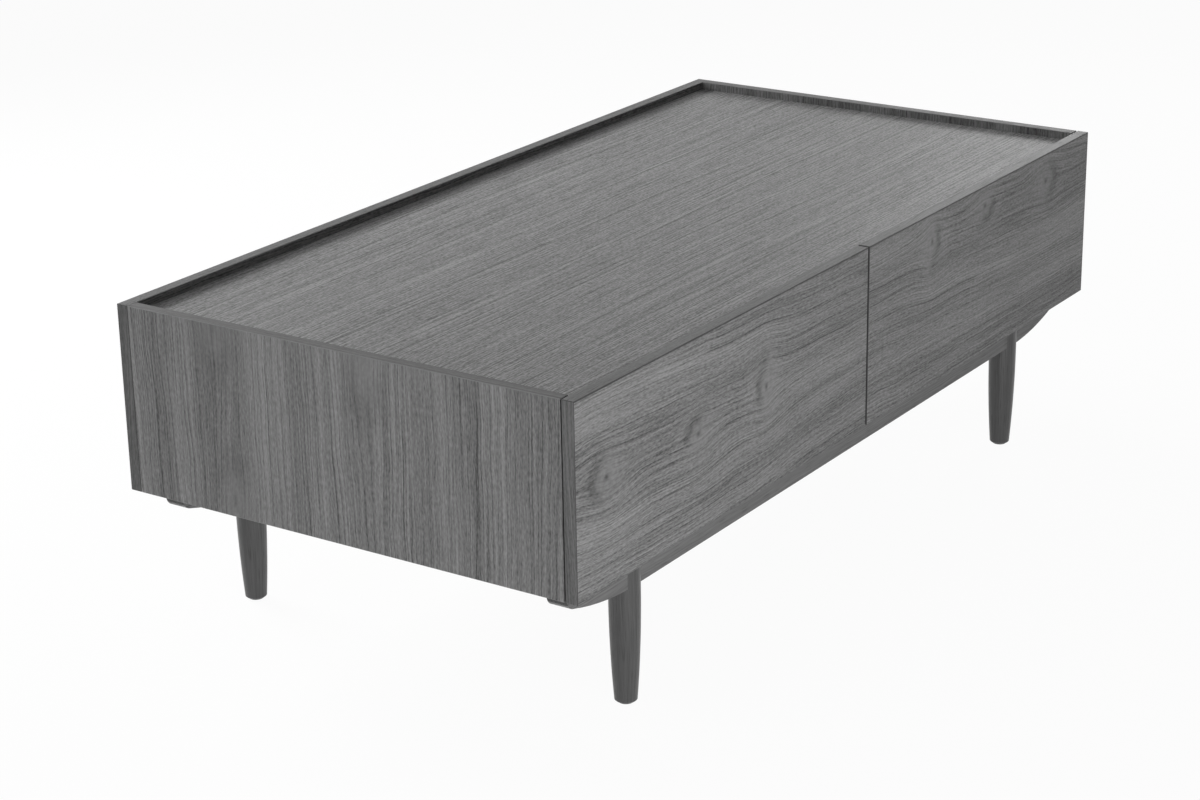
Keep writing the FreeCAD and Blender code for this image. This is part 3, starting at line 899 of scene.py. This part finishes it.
def place_piece(piece, body, slot, finish, *replaced):
    """Lets a finished piece ride on a body in place of CAD pieces."""
    piece.data.materials.clear()
    piece.data.materials.append(finish)
    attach(piece, body)
    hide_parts(*replaced)


for row in ("front", "rear"):
    row_low, row_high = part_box(f"{row}_legs")
    for side, sign in (("left", -1), ("right", 1)):
        leg = spun(f"{row}_{side}_leg", leg_outline)
        slot_corner = (-SAW_REACH, -half_slot, rail_low.z)
        slot_opposite = (SAW_REACH, half_slot, leg_high.z + SAW_CLEARANCE)
        saw(leg, block("slot", slot_corner, slot_opposite))
        smooth(leg)
        leg.location = (sign * leg_axis_x, (row_low.y + row_high.y) / 2, 0.0)
        leg.rotation_euler.z = math.pi if sign > 0 else 0.0
        place_piece(leg, "carcass", "turned_wood", leg_wood, f"{row}_legs")
        print(leg.name, len(leg.data.polygons), "faces")

# %% [markdown]
# ## Drawer boxes
#
# Behind the veneered fronts the drawers are cheaper: sides and back of board wrapped in a printed foil, and
# a bottom of hardboard with the same print on top. A printed grain has no pores to feel and is duller than
# lacquer, so the veneer function is used again with weaker lines, other greys and more roughness.

# %% Foiled drawer boards
PRINTED = {
    "Sway": 0.008, "Ripple": 0.002, "Spacing": 0.0120, "Lines": 0.30, "Fine_lines": 0.30, "Bands": 0.40,
    "Streaks": 0.40, "Fibres": 0.20, "Pores": 0.0,
}
BOX_TONES, BOTTOM_TONES = (0.10, 0.34), (0.13, 0.37)
FOIL = {"figure": PRINTED, "roughness": 0.58}
DRAWERS = ("left", "right")

side_foil = veneer("drawer_side_foil", Y, Z, X, 13.4, tones=BOX_TONES, **FOIL)
back_foil = veneer("drawer_back_foil", X, Z, Y, 14.8, tones=BOX_TONES, **FOIL)
bottom_foil = veneer("drawer_bottom_foil", X, Y, Z, 15.5, tones=BOTTOM_TONES, **FOIL)
for drawer in DRAWERS:
    dress(side_foil, f"{drawer}_drawer_outer_side", f"{drawer}_drawer_inner_side")
    dress(back_foil, f"{drawer}_drawer_back")
    dress(bottom_foil, f"{drawer}_drawer_bottom")
print("drawer boxes are foiled with", side_foil.name, back_foil.name, bottom_foil.name)

# %% [markdown]
# ## Metal, nylon, felt and rubber
#
# The runners are folded from sheet steel and powder coated; the coat dries to a fine orange peel and gets
# rubbed along the runner where rollers pass. Screws are zinc plated, which gives a soft metallic shine with
# a cloudy bloom. The rollers are moulded nylon, the glides under the feet pressed felt, the bumpers clear
# soft rubber, and the dowels raw beech with its small flecks. Each could have nodes of its own, but clouds
# of the right size tell them apart more than anything else, so one function makes them all.

# %% Function for fittings
PATCH_AMOUNT, PEEL_AMOUNT = 0.9, 0.5
GLOSS_AMOUNT, GLOSS_PATCHES = 0.12, 3.0
RUB_WAVES, RUB_ALONG = 900.0, 9.0
RUB_START, RUB_FULL, RUB_SHADE = 0.52, 0.74, 0.4
COAT_AMOUNT, COAT_MIDDLE = 0.3, 0.7


def patchy(tree, patch):
    """A tone in patches of a size."""
    return cloud(tree, patch, PATCH_AMOUNT) + MIDDLE_TONE


def rubbed(tree, patch):
    """A cloudy tone with dark streaks along Y, where rollers pass."""
    x, y, z = own_place(tree)
    streaks = noise(tree, x * RUB_WAVES, y * RUB_ALONG, z * RUB_WAVES, detail=2.0)
    return cloud(tree, patch, COAT_AMOUNT) - streaks.spread(RUB_START, RUB_FULL) * RUB_SHADE + COAT_MIDDLE


def fitting_finish(name, tones, patch, roughness, peel, depth, tone=patchy, **shader):
    """A finish with patches of two greys, clouded gloss, and a relief of small bumps of the peel size."""
    finish, tree, bsdf = new_finish(name, **shader)
    two_tone(tree, bsdf, tone(tree, patch), *tones)
    gloss = cloud(tree, patch * GLOSS_PATCHES, GLOSS_AMOUNT) + roughness
    feed(tree, gloss, bsdf.inputs["Roughness"])
    relief(tree, bsdf, cloud(tree, peel, PEEL_AMOUNT), depth)
    return finish


print("tones of fittings:", patchy.__name__, "and", rubbed.__name__)

# %% [markdown]
# A finish is given by its two greys, the size of its patches, its roughness, and the size and depth of its
# small bumps. Zinc is fully metallic, felt has the pale sheen of its fibres, and light passes through most
# of the rubber.

# %% Fitting finishes
coated_steel = fitting_finish(
    "powder_coat", (0.60, 0.80), patch=0.06, roughness=0.42, peel=0.0016, depth=0.00006, tone=rubbed
)
zinc = fitting_finish(
    "zinc_plate", (0.52, 0.74), patch=0.003, roughness=0.30, peel=0.0006, depth=0.00003, Metallic=1.0
)
nylon = fitting_finish("nylon", (0.74, 0.86), patch=0.006, roughness=0.42, peel=0.0009, depth=0.00004)
felt = fitting_finish(
    "felt", (0.03, 0.09), patch=0.0012, roughness=0.95, peel=0.0007, depth=0.0005, Sheen_Weight=0.4
)
rubber = fitting_finish(
    "clear_rubber", (0.62, 0.78), patch=0.004, roughness=0.28, peel=0.0010, depth=0.00005,
    Transmission_Weight=0.7
)
beech = fitting_finish("beech_dowel", (0.40, 0.70), patch=0.004, roughness=0.70, peel=0.0008, depth=0.0001)
dress(zinc, "leg_screws", "rail_screws")
dress(beech, "carcass_dowels")
for drawer in DRAWERS:
    for place in ("outer", "inner"):
        for half in ("cabinet", "drawer"):
            dress(coated_steel, f"{drawer}_drawer_{place}_{half}_runner")
print("finishes", [finish.name for finish in (coated_steel, zinc, nylon, felt, rubber, beech)])

# %% [markdown]
# ## Small fittings
#
# Screws, rollers, glides and bumpers come in sets. One of each kind is turned on the lathe and copied to its
# places. These could be typed in, but they are already in the CAD model: each set's mesh is split into its
# loose parts here, and a part's corner points say where it sits and which way it looks.

# %% Loose parts
SAME_POINT = 1e-6


def loose_parts(name):
    """The corner points of each loose part of a CAD piece."""
    bm = bmesh.new()
    bm.from_mesh(nodes[name].data)
    bmesh.ops.remove_doubles(bm, verts=bm.verts, dist=SAME_POINT)
    parts, seen = [], set()
    for start in bm.verts:
        part, waiting = [], [] if start in seen else [start]
        seen.add(start)
        while waiting:
            vert = waiting.pop()
            part.append(vert.co.copy())
            joined = {edge.other_vert(vert) for edge in vert.link_edges} - seen
            seen |= joined
            waiting += sorted(joined, key=lambda other: other.index)
        if part:
            parts.append(part)
    bm.free()
    return parts


def box_of(points):
    """The lowest and highest corner of a box round the points."""
    return Vector(map(min, zip(*points))), Vector(map(max, zip(*points)))


print("sets:", {name: len(loose_parts(name)) for name in ("foot_glides", "cabinet_runner_screws")})

# %% [markdown]
# Copies could be objects that share one mesh, but a set is a single piece of the model. So the pattern's
# mesh is added once for each place, and each copy is moved there by a matrix. Rounded edges in the outlines
# are arcs of an ellipse.

# %% Copies and arcs
def standing(place, way, turn=0.0):
    """The matrix that puts a turned piece at a place, with its own Z axis along way."""
    looking = way.to_track_quat("Z", "Y").to_matrix().to_4x4()
    return Matrix.Translation(place) @ looking @ Matrix.Rotation(turn, 4, "Z")


def copies(name, pattern, places):
    """One object with a copy of the pattern at each place; the pattern is thrown away."""
    bm = bmesh.new()
    for place in places:
        start = len(bm.verts)
        bm.from_mesh(pattern.data)
        bm.verts.ensure_lookup_table()
        bmesh.ops.transform(bm, matrix=place, verts=bm.verts[start:])
    bpy.data.meshes.remove(pattern.data)
    piece = piece_from(bm, name)
    smooth(piece)
    return piece


def arc(centre_radius, centre_height, width, height, start, end, steps=8):
    """Points of (radius, height) on an ellipse, from one angle to another in degrees."""
    turns = [math.radians(start + (end - start) * k / steps) for k in range(steps + 1)]
    return [(centre_radius + width * math.cos(t), centre_height + height * math.sin(t)) for t in turns]


print("helpers for sets:", standing.__name__, copies.__name__, arc.__name__)

# %% [markdown]
# A glide is a disc of felt pressed onto the foot. A plain cylinder would look like a coin, so its edges are
# rounded, as felt's are.

# %% Glides
FELT_ROUNDING = 0.0006
MM = 1000.0

glide_parts = [box_of(part) for part in loose_parts("foot_glides")]
glide_low, glide_high = glide_parts[0]
glide_radius, glide_height = (glide_high.x - glide_low.x) / 2, glide_high.z - glide_low.z
rounding = {"centre_radius": glide_radius - FELT_ROUNDING, "width": FELT_ROUNDING, "height": FELT_ROUNDING}
rim = arc(centre_height=FELT_ROUNDING, start=-90, end=0, steps=5, **rounding)
crown = arc(centre_height=glide_height - FELT_ROUNDING, start=0, end=90, steps=5, **rounding)
glide = spun("glide", [(0.0, 0.0)] + rim + crown + [(0.0, glide_height)], steps=40)
middles = [(lowest + highest) / 2 for lowest, highest in glide_parts]
glides = copies("felt_glides", glide, [Matrix.Translation((m.x, m.y, glide_low.z)) for m in middles])
place_piece(glides, "carcass", "glide_felt", felt, "foot_glides")
print(len(middles), "glides of", round(2 * glide_radius * MM, 1), "mm")

# %% [markdown]
# A bumper is a small soft dome glued behind a drawer front, where it meets the box. It is half an ellipse on
# a low wall, spun round.

# %% Bumpers
BUMPER_WALL = 0.2

for drawer in DRAWERS:
    bumper_parts = [box_of(part) for part in loose_parts(f"{drawer}_drawer_bumpers")]
    bumper_low, bumper_high = bumper_parts[0]
    bumper_radius, bumper_height = (bumper_high.x - bumper_low.x) / 2, bumper_high.y - bumper_low.y
    wall = bumper_height * BUMPER_WALL
    dome = arc(0.0, wall, bumper_radius, bumper_height - wall, 0, 90, steps=10)
    bumper = spun("bumper", [(0.0, 0.0), (bumper_radius, 0.0)] + dome, steps=32)
    places = [Vector(((a.x + b.x) / 2, a.y, (a.z + b.z) / 2)) for a, b in bumper_parts]
    domes = copies(f"{drawer}_bumper_domes", bumper, [standing(place, Vector(Y)) for place in places])
    place_piece(domes, f"{drawer}_drawer", "clear_bumper", rubber, f"{drawer}_drawer_bumpers")
    print(domes.name, len(places), "bumpers of", round(2 * bumper_radius * MM, 1), "mm")

# %% [markdown]
# A runner's screws have low pan heads with a cross recess. A bump could only hint at the recess, so it is
# sawn with two thin blocks. The head is a low wall with part of an ellipse on top, and the shank ends in a
# point.

# %% Pattern of a screw
RECESS_WIDTH, RECESS_LENGTH, RECESS_FLOOR = 0.0009, 0.0040, 0.00045
ABOVE_HEAD = 0.01
HEAD_WALL = 0.3
SHANK_SHARE = 0.45
SCREW_POINT = 0.003


def pan_screw(radius, height, length):
    """A screw that sits at its origin, from its head's radius and height and its shank's length."""
    wall, shank = height * HEAD_WALL, radius * SHANK_SHARE
    outline = [(0.0, -length), (shank, SCREW_POINT - length), (shank, 0.0), (radius, 0.0)]
    screw = spun("screw", outline + arc(0.0, wall, radius, height - wall, 0, 90), steps=32)
    half_width, half_length = RECESS_WIDTH / 2, RECESS_LENGTH / 2
    saw(
        screw,
        block("cross", (-half_width, -half_length, RECESS_FLOOR), (half_width, half_length, ABOVE_HEAD)),
        block("cross", (-half_length, -half_width, RECESS_FLOOR), (half_length, half_width, ABOVE_HEAD)),
    )
    return screw


print("recess of", RECESS_LENGTH * MM, "x", RECESS_WIDTH * MM, "mm")

# %% [markdown]
# In the CAD model the screws are many-sided pins, widest at the head, so the points far from a pin's axis
# tell where its head is and which way it looks. Each screw stops at another angle, as screws do.

# %% Runner screws
HEAD_SHARE = 0.8
TURN_BETWEEN_SCREWS = 0.7


def screw_seat(points):
    """Where a screw's head sits, which way it looks, its radius and height, and the shank's length."""
    lowest, highest = box_of(points)
    middle = (lowest + highest) / 2
    from_axis = [math.hypot(point.y - middle.y, point.z - middle.z) for point in points]
    head = [point.x for point, away in zip(points, from_axis) if away > HEAD_SHARE * max(from_axis)]
    way = Vector((math.copysign(1.0, sum(head) / len(head) - middle.x), 0.0, 0.0))
    seat = min(head) if way.x > 0 else max(head)
    height = max(head) - min(head)
    return Vector((seat, middle.y, middle.z)), way, max(from_axis), height, highest.x - lowest.x - height


screw_sets = {"cabinet_runner_screws": "carcass"}
screw_sets.update({f"{drawer}_drawer_runner_screws": f"{drawer}_drawer" for drawer in DRAWERS})
for name, body in screw_sets.items():
    seats = [screw_seat(part) for part in loose_parts(name)]
    *_, radius, height, length = seats[0]
    places = [standing(seat, way, TURN_BETWEEN_SCREWS * k) for k, (seat, way, *_) in enumerate(seats)]
    screws = copies(f"{name}_pan_heads", pan_screw(radius, height, length), places)
    place_piece(screws, body, "zinc_steel", zinc, name)
    print(screws.name, len(places), "screws of", round(length * MM, 1), "mm")

# %% [markdown]
# A roller turns on a stud of its runner. It is moulded with a slightly crowned tread and with pockets in
# both sides, which save material and show how far it has turned. The tread is part of the outline; the
# pockets are cut by small turned pins.

# %% Pattern of a roller
TREAD_ROUNDING, TREAD_CROWN = 0.0008, 10
POCKETS = 5
POCKET_RADIUS, POCKET_DEPTH, POCKET_CLEARANCE = 0.0012, 0.0013, 0.001


def roller_pattern(radius, bore, width):
    """A roller about its own Z axis, from its outer radius, the bore's radius and its width."""
    half, rounding = width / 2, TREAD_ROUNDING
    edge = {"centre_radius": radius - rounding, "width": rounding, "height": rounding, "steps": 5}
    outline = [(bore, -half)] + arc(centre_height=rounding - half, start=-90, end=-TREAD_CROWN, **edge)
    outline += arc(centre_height=half - rounding, start=TREAD_CROWN, end=90, **edge) + [(bore, half)]
    roller = spun("roller", outline, steps=64, ring=True)
    upper = half - POCKET_DEPTH, half + POCKET_CLEARANCE
    lower = -half - POCKET_CLEARANCE, POCKET_DEPTH - half
    cutters = []
    for k in range(POCKETS):
        turn = 2 * math.pi * k / POCKETS
        for bottom, top in (upper, lower):
            pin = [(0.0, bottom), (POCKET_RADIUS, bottom), (POCKET_RADIUS, top), (0.0, top)]
            cutter = spun("pocket", pin, steps=16)
            cutter.location = Vector((math.cos(turn), math.sin(turn), 0.0)) * (radius + bore) / 2
            cutters.append(cutter)
    saw(roller, *cutters)
    return roller


print("rollers with", POCKETS, "pockets in each side")

# %% [markdown]
# Each drawer has two pairs of rollers, which turn as the drawer moves. A pair rides on a body of its own:
# the front pair on studs of the cabinet's runners, the rear pair on studs of the drawer's.

# %% Rollers
def ring_size(points):
    """A roller's middle, its outer and bore radius and its width."""
    lowest, highest = box_of(points)
    middle = (lowest + highest) / 2
    radii = [math.hypot(point.y - middle.y, point.z - middle.z) for point in points]
    return middle, max(radii), min(radii), highest.x - lowest.x


for drawer in DRAWERS:
    for end in ("front", "rear"):
        name = f"{drawer}_drawer_{end}_rollers"
        rings = [ring_size(part) for part in loose_parts(name)]
        _, radius, bore, width = rings[0]
        places = [standing(middle, Vector(X)) for middle, *_ in rings]
        rollers = copies(f"{drawer}_{end}_roller_wheels", roller_pattern(radius, bore, width), places)
        place_piece(rollers, f"{drawer}_{end}_rollers", "nylon_roller", nylon, name)
        print(rollers.name, len(places), "rollers of", round(2 * radius * MM, 1), "mm")
